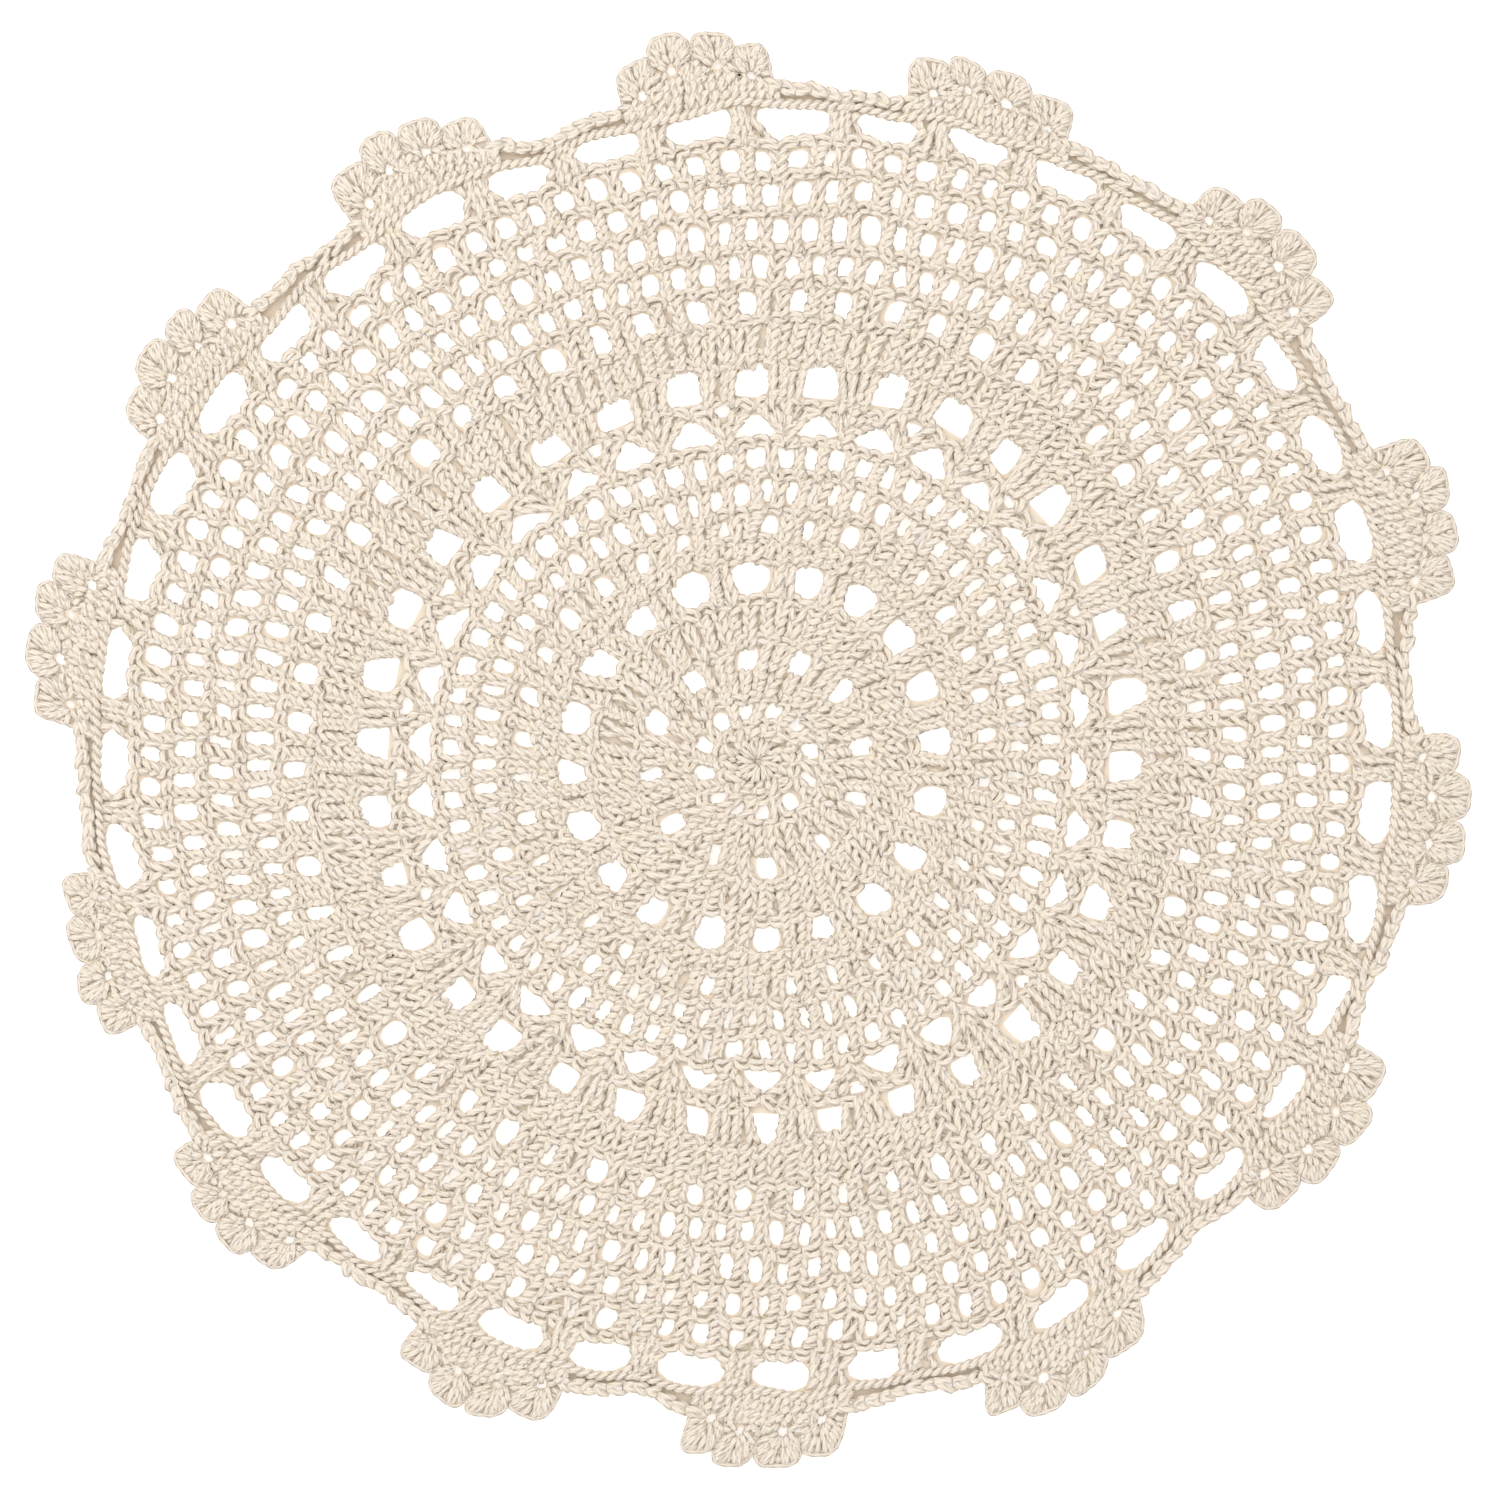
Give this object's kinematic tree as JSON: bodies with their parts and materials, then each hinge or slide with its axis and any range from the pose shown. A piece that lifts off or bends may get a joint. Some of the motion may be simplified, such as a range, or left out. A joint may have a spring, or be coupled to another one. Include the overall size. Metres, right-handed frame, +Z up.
{
  "type": "round crocheted lace doily",
  "caption": "Round openwork doily crocheted from thick cream cotton, with a scalloped edge, lying flat.",
  "frame": {"origin": "centre of the bounding box at the underside, where the doily lies on a table", "axes": "+Z up, through the cloth's thickness; +X and +Y lie in the plane of the table"},
  "size_m": [0.3824, 0.3804, 0.003],
  "materials": {
    "cotton": "undyed thick cotton yarn, matt, plied and crocheted"
  },
  "bodies": {
    "root": {"doily": "cotton"}
  },
  "joints": []
}
